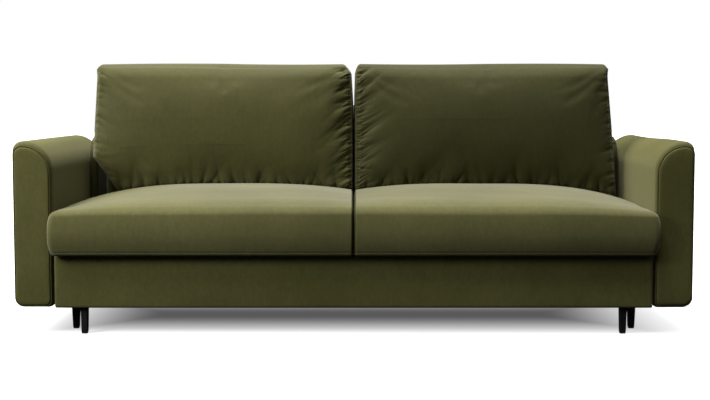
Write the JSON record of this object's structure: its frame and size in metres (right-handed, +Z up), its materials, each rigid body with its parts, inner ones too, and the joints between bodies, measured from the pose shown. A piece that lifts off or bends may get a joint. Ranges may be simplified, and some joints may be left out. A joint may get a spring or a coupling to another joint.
{
  "type": "sofa bed",
  "caption": "Upholstered pull-out sofa bed: the seat rolls forward on rails and the hinged backrest lies down behind it; loose back cushions.",
  "frame": {"origin": "middle of the bounding box on the floor, under the closed sofa", "axes": "+X to the sofa's right-hand arm as seen from the front, -Y towards the front of the seat, +Z up"},
  "size_m": [2.39, 1, 0.968],
  "materials": {
    "velvet_frame": "soft velvet, brushed pile",
    "velvet_seat": "soft velvet, brushed pile",
    "velvet_back": "soft velvet, brushed pile",
    "piping": "twisted cord under velvet",
    "backing": "dark hardboard",
    "pine": "planed softwood",
    "birch": "sprung beech or birch slat",
    "black_metal": "black powder coat",
    "zinc": "zinc plated",
    "felt": "pressed felt"
  },
  "bodies": {
    "frame": {"arm_left_body": "velvet_frame", "arm_left_front_panel": "velvet_frame", "arm_left_rear_panel": "velvet_frame", "arm_left_front_welt": "piping", "rear_corner_left": "velvet_frame", "side_board_left": "backing", "rail_outer_left": "zinc", "base_leg_front_left": "black_metal", "base_leg_front_left_glide": "felt", "base_leg_rear_left": "black_metal", "base_leg_rear_left_glide": "felt", "arm_right_body": "velvet_frame", "arm_right_front_panel": "velvet_frame", "arm_right_rear_panel": "velvet_frame", "arm_right_front_welt": "piping", "rear_corner_right": "velvet_frame", "side_board_right": "backing", "rail_outer_right": "zinc", "base_leg_front_right": "black_metal", "base_leg_front_right_glide": "felt", "base_leg_rear_right": "black_metal", "base_leg_rear_right_glide": "felt", "base_rail_front": "pine", "base_rail_middle": "pine", "base_rail_rear": "pine", "base_board": "backing", "rear_panel": "velvet_frame"},
    "seat_carriage": {"front_panel": "velvet_frame", "seat_beam_front": "pine", "seat_beam_rear": "pine", "seat_slat_1": "birch", "seat_slat_2": "birch", "seat_slat_3": "birch", "seat_slat_4": "birch", "seat_slat_5": "birch", "seat_slat_6": "birch", "seat_rail_left": "pine", "seat_cushion_left": "velvet_seat", "seat_leg_left": "black_metal", "seat_leg_left_glide": "felt", "rail_inner_left": "zinc", "hinge_plate_left": "black_metal", "seat_rail_right": "pine", "seat_cushion_right": "velvet_seat", "seat_leg_right": "black_metal", "seat_leg_right_glide": "felt", "rail_inner_right": "zinc", "hinge_plate_right": "black_metal"},
    "backrest": {"backrest_pad": "velvet_back", "backrest_board": "velvet_back", "backrest_bracket_left": "black_metal", "pivot_pin_left": "zinc", "backrest_bracket_right": "black_metal", "pivot_pin_right": "zinc"},
    "rail_middle_left": {"rail_middle_left": "zinc"},
    "back_cushion_left": {"back_cushion_left": "velvet_back"},
    "rail_middle_right": {"rail_middle_right": "zinc"},
    "back_cushion_right": {"back_cushion_right": "velvet_back"}
  },
  "joints": [
    {"name": "seat_slide", "type": "slide", "parent": "frame", "child": "seat_carriage", "axis": [0, -1, 0], "range_m": [0, 0.5]},
    {"name": "backrest_fold", "type": "hinge", "parent": "seat_carriage", "child": "backrest", "pos_m": [0, 0.35, 0.325], "axis": [-1, 0, 0], "range_deg": [0, 86]},
    {"name": "rail_middle_left_slide", "type": "slide", "parent": "frame", "child": "rail_middle_left", "axis": [0, -1, 0], "range_m": [0, 0.25]},
    {"name": "rail_middle_right_slide", "type": "slide", "parent": "frame", "child": "rail_middle_right", "axis": [0, -1, 0], "range_m": [0, 0.25]},
    {"name": "back_cushion_left_lift", "type": "slide", "parent": "seat_carriage", "child": "back_cushion_left", "axis": [0, 0, 1], "range_m": [0, 0.35]},
    {"name": "back_cushion_right_lift", "type": "slide", "parent": "seat_carriage", "child": "back_cushion_right", "axis": [0, 0, 1], "range_m": [0, 0.35]}
  ],
  "couplings": [
    {"joint": "backrest_fold", "follows": "seat_slide", "rad_per_m": 3},
    {"joint": "rail_middle_left_slide", "follows": "seat_slide", "ratio": 0.5},
    {"joint": "rail_middle_right_slide", "follows": "seat_slide", "ratio": 0.5}
  ]
}
